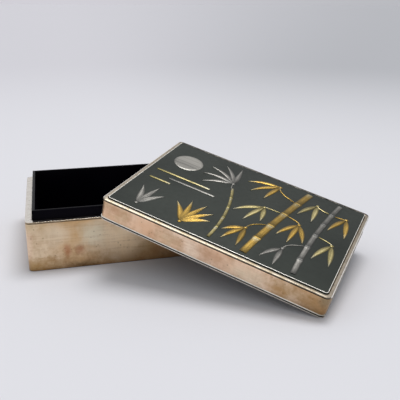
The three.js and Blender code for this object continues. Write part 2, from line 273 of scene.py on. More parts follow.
lamp_data = bpy.data.lights.new("broad_lamp", "SUN")
lamp_data.angle = LAMP_BREADTH
lamp_data.energy = LAMP_STRENGTH
lamp = bpy.data.objects.new("broad_lamp", lamp_data)
lamp_turn = (-LAMP_PLACE).to_track_quat("-Z", "Y").to_matrix().to_4x4()
lamp.matrix_world = Matrix.Translation(LAMP_PLACE) @ lamp_turn
bpy.context.scene.collection.objects.link(lamp)
print("the lamp's light falls at", round(math.degrees(LAMP_PLACE.angle((0, 0, 1)))), "degrees to the upright")

# %% [markdown]
# ## Where the lid lies
#
# The lid leans at two slants at once, so it is easiest to model it lying flat, level with
# its silver ledge, and then to lay the finished mesh in place. The frame holds the lid
# where it lies: the broad face of its wooden board gives the lid's up direction and the
# board's long side faces its back. Every size of the lid is then read in these axes.

# %% The lid's own axes, found from the frame
def face_normal(mesh, square_to=None):
    """The direction that most of a mesh's area faces, among faces square to another direction."""
    area = {}
    for face in mesh.polygons:
        if square_to is not None and abs(face.normal.dot(square_to)) > 0.01:
            continue
        key = tuple(round(c, 2) for c in face.normal)
        total, normal = area.get(key, (0, Vector()))
        area[key] = (total + face.area, normal + face.normal * face.area)
    return max(area.values(), key=lambda entry: entry[0])[1].normalized()


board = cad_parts["lid_core_board"].data
lid_up = face_normal(board)
lid_up = lid_up if lid_up.z > 0 else -lid_up
lid_back = face_normal(board, square_to=lid_up)
lid_back = lid_back if lid_back.y > 0 else -lid_back
lid_right = lid_back.cross(lid_up)


def reach_along(node, axes):
    """How far a CAD node reaches along three axes, in millimetres: low and high corners."""
    points = [v.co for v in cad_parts[node].data.vertices]
    reach = [[point.dot(axis) / MM for point in points] for axis in axes]
    return Vector([min(r) for r in reach]), Vector([max(r) for r in reach])


LID_AXES = (lid_right, lid_back, lid_up)
leaning_low, leaning_high = reach_along("lid_border_frame", LID_AXES)
lid_middle = (leaning_low + leaning_high) / 2
lid_origin = Vector((lid_middle.x, lid_middle.y, leaning_high.z))
LEAN = Matrix(LID_AXES).transposed().to_4x4()
LEAN.translation = Matrix(LID_AXES).transposed() @ lid_origin * MM
PLACES = {"box": TO_METRES, "lid": LEAN @ TO_METRES}


def span(node):
    """A node's low and high corners in mm; the lid's axes start at the middle of its ledge."""
    if node.startswith("box"):
        low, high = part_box(node)
        return low / MM, high / MM
    low, high = reach_along(node, LID_AXES)
    return low - lid_origin, high - lid_origin


print("the middle of the lid's ledge lies at", [round(c / MM, 1) for c in LEAN.translation], "mm")
print("the lid's frame measures", [round(c, 2) for c in leaning_high - leaning_low], "mm")

# %% [markdown]
# ## Tools for sheet metal and boards
#
# Nearly every hard piece here is a closed frame that runs round the box, or a plate with
# round corners. Both start as a rectangle whose corners are bevelled into arcs. For a frame
# this outline is drawn from corner to corner of its cross section, fitted anew at each, until
# it closes on itself, and its long edges are then bevelled. This keeps round corners true at
# every inset, which scaling a mesh wouldn't.

# %% Outlines, rings and plates
CORNER_RADIUS = 3.5
CORNER_STEPS = 12


def points_of(made):
    """The points among what a bmesh operator made."""
    return [g for g in made if isinstance(g, bmesh.types.BMVert)]


def edges_of(made):
    """The edges among what a bmesh operator made."""
    return [g for g in made if isinstance(g, bmesh.types.BMEdge)]


def add_outline(bm, length, width, radius, height, cuts=(0, 0)):
    """Adds a level rectangle with round corners as one closed line and returns its edges."""
    earlier = set(bm.faces)
    made = bmesh.ops.create_grid(bm, x_segments=1, y_segments=1, size=0.5)
    bmesh.ops.scale(bm, vec=(length, width, 1), verts=made["verts"])
    bmesh.ops.translate(bm, vec=(0, 0, height), verts=made["verts"])
    bmesh.ops.bevel(
        bm,
        geom=made["verts"],
        affect="VERTICES",
        offset=radius,
        segments=CORNER_STEPS,
        profile=0.5,
        material=-1,
    )
    face = next(f for f in bm.faces if f not in earlier)
    for direction, number in enumerate(cuts):
        straight = [
            e for e in face.edges
            if abs((e.verts[0].co - e.verts[1].co)[direction]) > (length, width)[direction] / 2
        ]
        if number:
            bmesh.ops.bisect_edges(bm, edges=straight, cuts=number)
    edges = list(face.edges)
    bmesh.ops.delete(bm, geom=[face], context="FACES_ONLY")
    return edges


def refit(point, before, after):
    """Moves a point of one round-cornered outline to its place on another."""
    for axis in (0, 1):
        half, new_half = before[axis] / 2, after[axis] / 2
        flat, new_flat = half - before[2], new_half - after[2]
        away = abs(point.co[axis])
        if away > flat:
            away = new_flat + (away - flat) * after[2] / before[2]
        else:
            away *= new_flat / flat
        point.co[axis] = math.copysign(away, point.co[axis])
    point.co.z = after[3]


def add_ring(bm, section, cuts=(0, 0)):
    """Adds a closed frame. Each corner of its section is (length, width, corner radius, height).

    It returns the lines of edges that run round the frame, one for each corner.
    """
    number = bm.edges.layers.int.new("line")
    line = add_outline(bm, *section[0], cuts)
    for edge in line:
        edge[number] = 1
    corners = section + section[:1]
    for index, (before, after) in enumerate(zip(corners, corners[1:])):
        grown = bmesh.ops.extrude_edge_only(bm, edges=line)["geom"]
        points = set(points_of(grown))
        for point in points:
            refit(point, before, after)
        line = [edge for edge in edges_of(grown) if set(edge.verts) <= points]
        for edge in edges_of(grown):
            edge[number] = 0
        for edge in line:
            edge[number] = (index + 1) % len(section) + 1
    bmesh.ops.remove_doubles(bm, verts=bm.verts, dist=0.001)
    return [[e for e in bm.edges if e[number] == index + 1] for index in range(len(section))]


def soften(bm, edges, width, segments=3):
    """Rounds edges over, as filing and polishing do, and returns the new faces."""
    made = bmesh.ops.bevel(
        bm,
        geom=edges,
        affect="EDGES",
        offset=width,
        offset_type="OFFSET",
        segments=segments,
        profile=0.5,
        material=-1,
    )
    return made["faces"]


def band_section(low, high, thickness, inner_radius=None):
    """The four corners of a frame's section: outer low, outer high, inner high, inner low."""
    length, width = high.x - low.x, high.y - low.y
    inner = max(CORNER_RADIUS - thickness, 0.05) if inner_radius is None else inner_radius
    outside = (length, width, CORNER_RADIUS)
    inside = (length - 2 * thickness, width - 2 * thickness, inner)
    return [(*outside, low.z), (*outside, high.z), (*inside, high.z), (*inside, low.z)]


def add_plate(bm, length, width, radius, low, high):
    """Adds a flat plate with round corners and returns the edges round its top."""
    line = add_outline(bm, length, width, radius, low)
    base = bmesh.ops.contextual_create(bm, geom=line)["faces"]
    raised = bmesh.ops.extrude_face_region(bm, geom=base, use_keep_orig=True)["geom"]
    bmesh.ops.translate(bm, vec=(0, 0, high - low), verts=points_of(raised))
    return edges_of(raised)


def finish_piece(bm, name, body, finish, node="", sharp=35):
    """Lays a mesh in place with its finish, on its body, instead of the CAD node it stands for."""
    bmesh.ops.transform(bm, matrix=PLACES[body], verts=bm.verts)
    bmesh.ops.recalc_face_normals(bm, faces=bm.faces)
    mesh = bpy.data.meshes.new(name)
    bm.to_mesh(mesh)
    bm.free()
    mesh.materials.append(finish)
    mesh.shade_smooth()
    mesh.set_sharp_from_angle(angle=math.radians(sharp))
    piece = bpy.data.objects.new(name, mesh)
    bpy.context.scene.collection.objects.link(piece)
    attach(piece, body)
    if node:
        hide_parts(node)
    print(f"{name}: {len(mesh.vertices)} points, {len(mesh.polygons)} faces")


# %% [markdown]
# ## Finish: aged sheet silver
#
# The walls are sheet silver, planished with a hammer, rubbed with a fine stone, more along
# than across, and left to tarnish. Thin sulphide turns silver from cream through tan to a
# pinkish brown, thickest where hands didn't rub it: near the corners and under the lid. The
# walls also grow darker and browner towards their foot. The eye sees a warm metal with no
# sharp mirror image, cloudy blotches as wide as a thumb with straw coloured patches between,
# a finer mottle of a few millimetres, faint stone marks and a few dark freckles. Larger
# stains, such as two old finger marks on the front, lie where years of handling left them.
# The same list also holds painted light and shade: a pale patch of painted light on the
# front where the lid's shadow falls, a pale strip of painted highlight down the front left
# corner, and painted shade that darkens the lid towards its right end. The lid's own copy of
# the finish is painted lighter than the box's, as painted light on its band. It is metal all
# through, so Metallic is 1 and the IOR stays as it is.
#
# The stone marks of the real sheet are hair fine. Here they are 0.7 mm apart and 12 mm long,
# because finer ones wouldn't show from where the camera stands.

# %% Aged sheet silver
THUMB_BLOTCH = 30
STRAW_PATCH = 11
MOTTLE = 5
STONE_MARK, MARK_LENGTH = 0.7, 12
DIMPLE_DEPTH, STONE_DEPTH = 0.1, 0.02
ACROSS_SHARE = 0.4
FRECKLE_SPACING = 4.5
RAGGED = 0.35


def aged_silver(name, clean, warm, deep, stains_and_painted_light, level):
    """Tarnished silver. A stain, like each patch of painted light and shade in the list, is its middle and
    its reach in mm, a colour and a strength.

    level turns a piece that lies aslant upright, so that marks and patches of colour follow it. The
    mesh marks how bare a face is: 1 is polished bright and -1 is dark, as dirt on the box's band
    and as painted shade in the creases of the lid's band.
    """
    material, tree, shader, here = new_finish(name, "aged_silver", Metallic=1.0)
    upright = {"Location": level.translation, "Rotation": level.to_euler()}
    place = add_node(tree, "Mapping", {"Vector": here, **upright}).outputs[0]
    blotch, mottle, straw = (
        add_node(
            tree, "TexNoise", {"Vector": place, "Scale": across(size), "Detail": detail, "Roughness": torn}
        ).outputs[0]
        for size, detail, torn in ((THUMB_BLOTCH, 4.0, 0.6), (MOTTLE, 6.0, 0.7), (STRAW_PATCH, 5.0, 0.65))
    )
    colour = lay_over(tree, linear(clean), warm, blotch, 0.42, 0.6)
    colour = lay_over(tree, colour, "#b39a68", straw, 0.5, 0.68, 0.4)
    colour = lay_over(tree, colour, deep, mottle, 0.45, 0.72, 0.6)

    frayed = {0: mottle, "From Min": 0.3, "From Max": 0.7, "To Min": RAGGED, "To Max": -RAGGED}
    ragged = add_node(tree, "MapRange", frayed).outputs[0]
    for middle, reach, swatch, strength in stains_and_painted_light:
        spot = {"Location": Vector(middle) * MM, "Scale": Vector(reach) * MM}
        near = add_node(tree, "Mapping", {"Vector": place, **spot}, vector_type="TEXTURE").outputs[0]
        away = add_node(tree, "VectorMath", {0: near}, operation="LENGTH").outputs["Value"]
        edge = add_node(tree, "Math", {0: away, 1: ragged}, operation="ADD").outputs[0]
        colour = lay_over(tree, colour, swatch, edge, 1.0, 0.2, strength)

    pores = add_node(tree, "TexVoronoi", {"Vector": place, "Scale": 1 / (FRECKLE_SPACING * MM)}).outputs[0]
    colour = lay_over(tree, colour, "#7d5a3e", pores, 0.15, 0.06, 0.4)
    marks = []
    for stretch in ((STONE_MARK / MARK_LENGTH, 1, 1), (1, 1, STONE_MARK / MARK_LENGTH)):
        drawn = add_node(tree, "Mapping", {"Vector": place, "Scale": Vector(stretch)}).outputs[0]
        streak = add_node(tree, "TexNoise", {"Vector": drawn, "Scale": across(STONE_MARK), "Detail": 2.0})
        marks.append(streak.outputs[0])
    woven = {0: marks[1], 1: ACROSS_SHARE, 2: marks[0]}
    weave = add_node(tree, "Math", woven, operation="MULTIPLY_ADD").outputs[0]
    colour = lay_over(tree, colour, deep, weave, 0.7, 0.94, 0.28)
    # Below 0 this darkens: dirt on the box's band, painted shade in the creases of the lid's band.
    bareness_dirt_and_shade = add_node(tree, "Attribute", attribute_name="bare").outputs["Fac"]
    colour = lay_over(tree, colour, "#fffaf0", bareness_dirt_and_shade, 0.0, 1.0)
    colour = lay_over(tree, colour, "#3a2a1e", bareness_dirt_and_shade, 0.0, -1.0)
    dents = give_skin(tree, shader, colour, mottle, 0.32, 0.46, DIMPLE_DEPTH)
    scratched = {"Height": weave, "Distance": STONE_DEPTH * MM, "Strength": 0.5, "Normal": dents}
    tree.links.new(add_node(tree, "Bump", scratched).outputs[0], shader.inputs["Normal"])
    return material


FRONT = -53.5
EVERYWHERE = 900
BOX_STAINS_AND_PAINTED_LIGHT = [
    # Darker and browner towards the foot of every wall.
    ((0, 0, -3), (EVERYWHERE, EVERYWHERE, 15), "#9e7542", 0.7),
    ((-33, FRONT, 22), (13, 20, 12), "#eae1c8", 0.7),
    ((-54, FRONT, 24), (14, 20, 9), "#efe0c6", 0.5),
    # Painted light: a pale patch that lightens the front where the lid's shadow falls on it.
    ((-12, FRONT, 15), (17, 20, 14), "#f8dcb6", 0.8),
    ((14, FRONT, 6), (22, 20, 9), "#c8946c", 0.25),
    ((-50.3, FRONT, 15.2), (3.2, 20, 4.4), "#a8623f", 0.5),
    ((-49.2, FRONT, 11.4), (3, 20, 4), "#a8623f", 0.5),
    ((-41.2, FRONT, 12.4), (4, 20, 4.8), "#a05c3c", 0.6),
    ((-41, FRONT, 1.5), (13, 20, 4), "#5f4a2e", 0.75),
    # Painted highlight: a pale strip down the rounded front left corner.
    ((-75, FRONT, 17), (4, 8, 22), "#f2d2ba", 0.6),
    ((-70, FRONT, 4), (13, 20, 7), "#a8803c", 0.6),
    ((75, 20, 20), (20, 30, 14), "#b17f58", 0.5),
    ((20, 53.5, 14), (24, 20, 10), "#a8734c", 0.5),
    ((-75, 10, 22), (20, 22, 10), "#e3dfcb", 0.6),
]
LID_STAINS_AND_PAINTED_SHADE = [
    # Painted shade: the lid darkens and browns towards its right end.
    ((75, 0, -8), (50, EVERYWHERE, EVERYWHERE), "#ad8850", 0.6),
    ((64, FRONT, -8), (16, 20, 12), "#9a7440", 0.5),
    ((46, FRONT, -11), (14, 20, 5), "#b8863e", 0.4),
    ((73, FRONT, -3), (6, 20, 6), "#827a64", 0.65),
    ((4, FRONT, -7), (14, 20, 9), "#c79a78", 0.5),
    ((26, FRONT, -9), (15, 20, 7), "#efe0c4", 0.5),
    ((-64, FRONT, -5), (7, 20, 4), "#bd8868", 0.3),
    ((75, -30, -8), (20, 24, 9), "#8a6a4a", 0.5),
    ((0, 53.5, -8), (40, 20, 8), "#c08c66", 0.5),
]
box_silver = aged_silver("aged_sheet_silver_box", "#e6cfb0", "#d2ae82", "#ae865c", BOX_STAINS_AND_PAINTED_LIGHT, Matrix())
# The lid's copy of the same silver has lighter colours than the box's: painted light on the lid's band.
lid_silver_painted_lighter = aged_silver(
    "aged_sheet_silver_lid_painted_lighter", "#fbe3ca", "#eec5a2", "#c1966f", LID_STAINS_AND_PAINTED_SHADE, LEAN.inverted()
)
print("aged silver is ready, with", len(BOX_STAINS_AND_PAINTED_LIGHT) + len(LID_STAINS_AND_PAINTED_SHADE), "stains_and_painted_light")

# %% [markdown]
# ## Finish: near-black silver as painted shade in the groove
#
# The groove above the lid's rim is lined with silver that is nearly black, matt, with a little
# cloudiness: painted shade for the deep groove.

# %% Near-black silver, painted shade for the groove
groove_painted_shade, groove_tree, groove_shader, groove_place = new_finish(
    "painted_shade_groove_silver", "aged_silver", Metallic=0.6, Roughness=0.6
)
groove_cloud = add_node(groove_tree, "TexNoise", {"Vector": groove_place, "Scale": across(4), "Detail": 3.0})
groove_colour = lay_over(groove_tree, linear("#0c0c10"), "#1e1b19", groove_cloud.outputs[0], 0.0, 1.0)
groove_tree.links.new(groove_colour, groove_shader.inputs["Base Color"])
print("blackened silver is ready")

# %% [markdown]
# ## Finish: bright silver
#
# Rims, ledge and wire are thicker silver that hands and the lid keep polished, so they stay
# pale and mirror more sharply. Where they weren't rubbed, a thin veil of tarnish lies over
# them in patches of a few millimetres: straw yellow on the ledge's front, taupe elsewhere.
# How far the veil goes is written on the mesh as an attribute, because it depends on the side
# of the lid and not on a pattern in space. That attribute carries tarnish and painted light
# at once: the taupe at the ledge's ends is tarnish and painted shade. The attribute also
# paints shade, almost black, on the rims' undersides, along the back of ledge and wire and in
# the crease at the ledge's foot. It darkens the ledge towards its front right, and paints a
# white highlight on the rounded outer edges at the ledge's ends.

# %% Bright silver with a veil
VEIL_PATCH = 2.2
PIT_SPACING = 2.4


def bright_silver(name, clean, veil, dull, roughness):
    """Polished silver: clean metal, the veil in patches, and the dull colour where tarnished.

    The mesh says how tarnished and how shaded a place is: 1 has the dull colour, 1.6 is nearly
    black, and below 0 the metal is white, a painted highlight. Much of the dark is painted shade.
    """
    material, tree, shader, place = new_finish(name, "bright_silver", Metallic=1.0)
    tarnish_and_painted_light = add_node(tree, "Attribute", attribute_name="tarnish_and_painted_light").outputs["Fac"]
    cloud = add_node(
        tree, "TexNoise", {"Vector": place, "Scale": across(VEIL_PATCH), "Detail": 5.0, "Roughness": 0.65}
    ).outputs[0]
    colour = lay_over(tree, linear(clean), veil, cloud, 0.47, 0.68)
    patchy = {0: cloud, "From Min": 0.35, "From Max": 0.6, "To Min": 0.8}
    uneven = add_node(tree, "MapRange", patchy).outputs[0]
    tarnish_and_shade_depth = add_node(tree, "Math", {0: tarnish_and_painted_light, 1: uneven}, operation="MULTIPLY").outputs[0]
    colour = lay_over(tree, colour, dull, tarnish_and_shade_depth, 0.0, 1.0)
    colour = lay_over(tree, colour, "#2a2724", tarnish_and_shade_depth, 0.95, 1.5)
    colour = lay_over(tree, colour, "#fbf9f6", tarnish_and_shade_depth, 0.0, -0.6)
    pits = add_node(tree, "TexVoronoi", {"Vector": place, "Scale": 1 / (PIT_SPACING * MM)}).outputs[0]
    colour = lay_over(tree, colour, "#5e5248", pits, 0.2, 0.08, 0.7)
    give_skin(tree, shader, colour, cloud, roughness - 0.05, roughness + 0.08, 0.03)
    return material


rim_silver = bright_silver("bright_silver_rim", "#f7f0e8", "#eae0d5", "#b3a085", 0.18)
lid_rim_silver = bright_silver("bright_silver_lid_rim", "#f1ece4", "#d9d1c5", "#c4bbaf", 0.2)
ledge_silver = bright_silver("bright_silver_ledge", "#d6cab6", "#bca985", "#80776c", 0.4)
wire_silver = bright_silver("bright_silver_wire", "#f6f3ec", "#e4ded2", "#cfc9bd", 0.36)
print("bright silver is ready")

# %% [markdown]
# ## Finish: black lacquer
#
# The lining is wood under many thin coats of black lacquer, each rubbed down and the last
# one polished. It is so black that inside the box nothing shows but a thin gleam along the
# top of the lip, so its reflections are set weaker than on most varnishes. Very faint
# ripples of the brush, about 14 mm across, keep that gleam alive.

# %% Black lacquer
BRUSH_RIPPLE = 14

lacquer, lacquer_tree, lacquer_shader, lacquer_place = new_finish(
    "black_lacquer", "black_lacquer", IOR=1.5, Specular_IOR_Level=0.04
)
brushed = {"Vector": lacquer_place, "Scale": across(BRUSH_RIPPLE), "Detail": 2.0}
ripple = add_node(lacquer_tree, "TexNoise", brushed).outputs[0]
lacquer_black = lay_over(lacquer_tree, linear("#020105"), "#08060f", ripple, 0.0, 1.0)
give_skin(lacquer_tree, lacquer_shader, lacquer_black, ripple, 0.2, 0.34, 0.05)
print("black lacquer is ready")

# %% [markdown]
# ## Finish: dark patinated copper alloy
#
# The picture lies in a plate of copper alloy that was boiled in pickling salts until a
# black, slightly green skin formed. The skin is a thin oxide on polished metal: the plate
# looks dark grey, lightens where it mirrors the sky at a low angle, and has no grain that
# can be seen from a step away, only soft clouds where the skin is thinner.

# %% Dark patinated plate
THIN_CLOUD, SALT_SPECK = 30, 1.4

plate_dark, plate_tree, plate_shader, plate_place = new_finish(
    "dark_patinated_copper_alloy", "dark_plaque", Metallic=0.3, Specular_IOR_Level=0.14
)
clouded = {"Vector": plate_place, "Scale": across(THIN_CLOUD), "Detail": 4.0}
cloud = add_node(plate_tree, "TexNoise", clouded).outputs[0]
specked = {"Vector": plate_place, "Scale": across(SALT_SPECK), "Detail": 3.0}
speck = add_node(plate_tree, "TexNoise", specked).outputs[0]
plate_black = lay_over(plate_tree, linear("#272b28"), "#333733", cloud, 0.35, 0.65)
give_skin(plate_tree, plate_shader, plate_black, speck, 0.46, 0.56, 0.02)
print("the dark plate's finish is ready")

# %% [markdown]
# ## Finish: cypress core
#
# Under the silver the case is plain sawn cypress, which shows only when the lid or the box
# comes apart. It is pale straw brown with darker rings a few millimetres apart, drawn out
# along the length of the case.

# %% Cypress wood
RING_SPACING = 3.2
GRAIN_WANDER = 12
GRAIN_DEPTH = 0.1
WAVE_UNIT = math.pi / 10    # a Wave texture of scale 1 has this width from ring to ring

wood, wood_tree, wood_shader, wood_place = new_finish(
    "cypress_core_wood", "core_wood", Roughness=0.7, IOR=1.5
)
sawn = add_node(wood_tree, "Mapping", {"Vector": wood_place, "Scale": Vector((0.08, 1, 1))}).outputs[0]
wander = add_node(wood_tree, "TexNoise", {"Vector": sawn, "Scale": across(GRAIN_WANDER), "Detail": 3.0})
ringed = {"Vector": sawn, "Scale": WAVE_UNIT / (RING_SPACING * MM), "Distortion": 3.0, "Detail": 3.0}
rings = add_node(wood_tree, "TexWave", ringed, bands_direction="Y")
both = {0: rings.outputs["Fac"], 1: wander.outputs[0]}
late_wood = add_node(wood_tree, "Math", both, operation="MULTIPLY").outputs[0]
straw_brown = lay_over(wood_tree, linear("#c9a674"), "#94683c", late_wood, 0.0, 1.0)
wood_tree.links.new(straw_brown, wood_shader.inputs["Base Color"])
raised = {"Height": late_wood, "Distance": GRAIN_DEPTH * MM, "Strength": 0.5}
wood_tree.links.new(add_node(wood_tree, "Bump", raised).outputs[0], wood_shader.inputs["Normal"])
print("cypress is ready")

# %% [markdown]
# ## Finish: engraved gold and silver inlays
#
# Each leaf is a small piece of gold or silver, raised a little above the plate, filed
# round and engraved with fine lines that run from its base to its point. Dark patina stays
# in the lines and near the base, and the points are rubbed pale. Towards its edges, where
# the metal dips to the plate, every piece darkens: patina there, and painted shade that
# makes the domes read round. The right-hand half of every leaf and stem, which is the lower
# half of a tipped leaf, is a shade darker: painted shade. The pattern has to follow each
# leaf, so the mesh carries an attribute called grain: how far along the leaf a point is, how
# far across, and a number that differs from leaf to leaf.

# %% Engraved inlay metal
LINES_ACROSS = 9
LINE_DEPTH = 0.12


def inlay_metal(slot, base, body, tip, deep, roughness):
    """Gold or silver, shaded from its base to its tip and engraved along the grain."""
    material, tree, shader, grain = new_finish(f"{slot}_inlay", slot, along="grain", Metallic=1.0)
    parts = add_node(tree, "SeparateXYZ", {0: grain})
    along, side, number = parts.outputs["X"], parts.outputs["Y"], parts.outputs["Z"]
    from_middle = add_node(tree, "Math", {0: side}, operation="ABSOLUTE").outputs[0]
    drawn = add_node(tree, "Mapping", {"Vector": grain, "Scale": Vector((2.5, LINES_ACROSS, 17))})
    engraved = {"Vector": drawn.outputs[0], "Scale": 1.0, "Detail": 3.0, "Roughness": 0.6}
    lines = add_node(tree, "TexNoise", engraved).outputs[0]
    colour = lay_over(tree, linear(base), body, along, 0.0, 0.42)
    colour = lay_over(tree, colour, tip, along, 0.7, 0.97)
    # Painted shade: the right-hand half of each strip is darker; on the moon this is its lower half.
    colour = lay_over(tree, colour, base, side, 0.12, -0.12, 0.4)
    # Darker towards the edges: patina where the metal dips to the plate, and painted shade that rounds the
    # domes.
    colour = lay_over(tree, colour, base, from_middle, 0.5, 0.95, 0.85)
    colour = lay_over(tree, colour, deep, lines, 0.52, 0.66, 0.7)
    colour = lay_over(tree, colour, base, number, 0.3, 1.0, 0.5)
    give_skin(tree, shader, colour, lines, roughness - 0.06, roughness + 0.1, LINE_DEPTH, 0.6, invert=True)
    return material


yellow_gold = inlay_metal("yellow_gold", "#5f4f2a", "#d0aa55", "#dccfa6", "#584824", 0.3)
pale_gold = inlay_metal("pale_gold", "#5c5534", "#cfc08a", "#d2cdba", "#504a30", 0.32)
grey_silver = inlay_metal("grey_silver", "#474745", "#9a9791", "#bab7b0", "#3a3a39", 0.34)
print("three inlay metals are ready")

# %% [markdown]
# ## The silver band of the box
#
# The wall is one strip of sheet silver, bent round the wooden case and soldered. It is
# lofted as a ring, its outer face is cut into a grid of about 2 mm, and each point is then
# drawn in by up to 0.12 mm, as planishing leaves it. A bump texture alone would not bend the
# long soft reflections the way real dents do.

# %% Band of the box
SHEET = 0.8
BAND_CUTS = (72, 50)
DENT_DEPTH = 0.12
DENT_WIDTH = 9
UPRIGHT_ENOUGH = 0.5


def planish(bm, low, high, seed):
    """Draws the outer face of a band in by a little, more or less from place to place."""
    bmesh.ops.recalc_face_normals(bm, faces=bm.faces)
    bm.normal_update()
    half = Vector(((high.x - low.x) / 2, (high.y - low.y) / 2, 0))
    for vertex in bm.verts:
        outward = Vector((vertex.normal.x, vertex.normal.y, 0))
        at_face = max(abs(vertex.co.x) - half.x, abs(vertex.co.y) - half.y) > -CORNER_RADIUS * 0.3 - 0.01
        inside = outward.dot(Vector((vertex.co.x, vertex.co.y, 0))) < 0
        if inside or not at_face or outward.length < UPRIGHT_ENOUGH:
            continue
        depth = DENT_DEPTH * (0.5 + noise.noise(vertex.co / DENT_WIDTH + Vector((seed, 0, 0))))
        vertex.co -= outward.normalized() * min(max(depth, 0), DENT_DEPTH)


def silver_band(body, low, high, finish, edges, bareness_dirt_and_shade, wall_cuts, seed):
    """A band of sheet silver. edges says how round foot and head are, and the next pair how bare or how dark;
    the lid's dark foot and head are painted shade.
    """
    bm = bmesh.new()
    bare = bm.faces.layers.float.new("bare")
    lines = add_ring(bm, band_section(low, high, SHEET), BAND_CUTS)
    for line, width, edge_tone in zip(lines, edges, bareness_dirt_and_shade):
        for face in soften(bm, line, width):
            face[bare] = edge_tone
    upright = [
        e for e in bm.edges
        if abs(e.verts[0].co.z - e.verts[1].co.z) > (high.z - low.z) / 2
        and max(abs(e.verts[0].co.x) - high.x, abs(e.verts[0].co.y) - high.y) > -SHEET * 0.9
    ]
    bmesh.ops.subdivide_edges(bm, edges=upright, cuts=wall_cuts, use_grid_fill=True)
    planish(bm, low, high, seed)
    finish_piece(bm, f"band_of_{body}", body, finish, f"{body}_silver_band")


silver_band(
    "box", *span("box_silver_band"), box_silver, edges=(0.5, 0.25), bareness_dirt_and_shade=(-0.5, -0.5), wall_cuts=14, seed=3
)

# %% [markdown]
# ## Rim and base of the box
#
# A flat silver frame closes the top of the wall between the band and the black lip, and a
# plain silver plate closes the underside. The rim's edges are only just broken, so that the
# lid closes tight on it, and its narrow sides have the tarnish of the band below. Its faces
# that look down are painted shade, almost black.

# %% Rim frame and base plate
RIM_WIDTH = 4.45
RIM_EDGE = 0.15
RIM_INNER_RADIUS = 0.2
BOX_RIM_SHADE, LID_RIM_SHADE, UNDERSIDE_PAINTED_SHADE = 1.1, 0.5, 1.3


def flat_frame(body, low, high, width, shade, finish):
    """The flat rim of box or lid; shade says how tarnished its upright sides are, and faces that look down
    get painted shade.
    """
    bm = bmesh.new()
    tarnish_and_painted_light = bm.faces.layers.float.new("tarnish_and_painted_light")
    lines = add_ring(bm, band_section(low, high, width, RIM_INNER_RADIUS))
    for line in lines[:3]:
        soften(bm, line, RIM_EDGE)
    bmesh.ops.recalc_face_normals(bm, faces=bm.faces)
    # Upright faces take the band's tarnish, and faces that look down take painted shade.
    for face in bm.faces:
        if face.normal.z < 0.95:
            face[tarnish_and_painted_light] = shade if face.normal.z > -0.1 else UNDERSIDE_PAINTED_SHADE
    finish_piece(bm, f"rim_of_{body}", body, finish, f"{body}_rim_frame")


def dress_node(node, finish):
    """Gives a CAD node that keeps its shape its finish."""
    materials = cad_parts[node].data.materials
    materials.clear()
    materials.append(finish)


flat_frame("box", *span("box_rim_frame"), RIM_WIDTH, BOX_RIM_SHADE, rim_silver)
dress_node("box_base_plate", box_silver)
print("the rim is", RIM_WIDTH, "mm wide")

# %% [markdown]
# ## Lacquered linings
#
# The lining is four thin boards, mitred at the corners and lacquered black. A board is a
# cube drawn out to size whose inner face is shortened at both ends, and its long edges are
# rounded as lacquer rounds them. Thinner and lower boards of the same kind line the lid.

# %% Mitred boards
SIDES = ("front", "right", "back", "left")
MITRE_GAP = 0.02
LACQUER_ROUND = 0.3


def mitred_board(body, side, low, high, thickness):
    """One board of a mitred frame that fills the outline from low to high."""
    turn = SIDES.index(side)
    along = (high.x - low.x, high.y - low.y)[turn % 2]
    out = (high.y - low.y, high.x - low.x)[turn % 2] / 2
    bm = bmesh.new()
    made = bmesh.ops.create_cube(bm, size=1)["verts"]
    bmesh.ops.scale(bm, vec=(along - 2 * MITRE_GAP, thickness, high.z - low.z), verts=made)
    for end in (-1, 1):
        inner = [v for v in made if v.co.y > 0 and v.co.x * end > 0]
        bmesh.ops.translate(bm, vec=(-end * thickness, 0, 0), verts=inner)
    bmesh.ops.translate(bm, vec=(0, thickness / 2 - out, (low.z + high.z) / 2), verts=made)
    tops = [e for e in bm.edges if all(abs(v.co.z - high.z) < 0.001 for v in e.verts)]
    feet = [e for e in bm.edges if all(abs(v.co.z - low.z) < 0.001 for v in e.verts)]
    level = [e for e in tops + feet if abs((e.verts[0].co - e.verts[1].co).x) > along / 2]
    soften(bm, level, LACQUER_ROUND)
    bmesh.ops.rotate(bm, cent=(0, 0, 0), matrix=Matrix.Rotation(turn * math.pi / 2, 3, "Z"), verts=bm.verts)
    finish_piece(bm, f"lining_of_{body}_{side}", body, lacquer, f"{body}_lining_{side}")


def add_lining(body, thickness):
    """The four boards of a lining, in the outline that its front and left nodes give."""
    front_low, front_high = span(f"{body}_lining_front")
    low = Vector((span(f"{body}_lining_left")[0].x, front_low.y, front_low.z))
    high = Vector((-low.x, -low.y, front_high.z))
    for side in SIDES:
        mitred_board(body, side, low, high, thickness)


BOX_LINING = 1.9
add_lining("box", BOX_LINING)

# %% Floor of the lining
BOARD_CORNER = 0.1
FLOOR_TUCKED = 0.25


def lacquered_board(name, body, node, tucked=0.0):
    """A level lacquered board that reaches past its node by as much as is tucked under."""
    low, high = span(node)
    bm = bmesh.new()
    size = [side + 2 * tucked for side in (high - low).xy]
    add_plate(bm, *size, BOARD_CORNER, low.z, high.z)
    finish_piece(bm, name, body, lacquer, node)


lacquered_board("lining_of_box_floor", "box", "box_lining_floor", FLOOR_TUCKED)

# %% [markdown]
# ## The lid's band and frames
#
# The lid repeats the box: a band of sheet silver and a flat rim frame under it. A wire that
# stands proud of the band stiffens its foot and catches the light; near the right end it is
# darker. A groove between the wire and the rim draws a dark line: a ring of near-black silver
# lines it, painted shade for the deep groove. The band is drawn in and the rim made thinner
# by fractions of a millimetre to leave room for wire and groove. On top a narrow silver ledge
# runs round, rounded over on its outer edge.
# The dark plate of the picture stands up out of that ledge, and a bright wire lies on a
# shoulder round the plate's upper edge. Seen from the front, the plate's own dark side shows
# as a black line between ledge and wire.

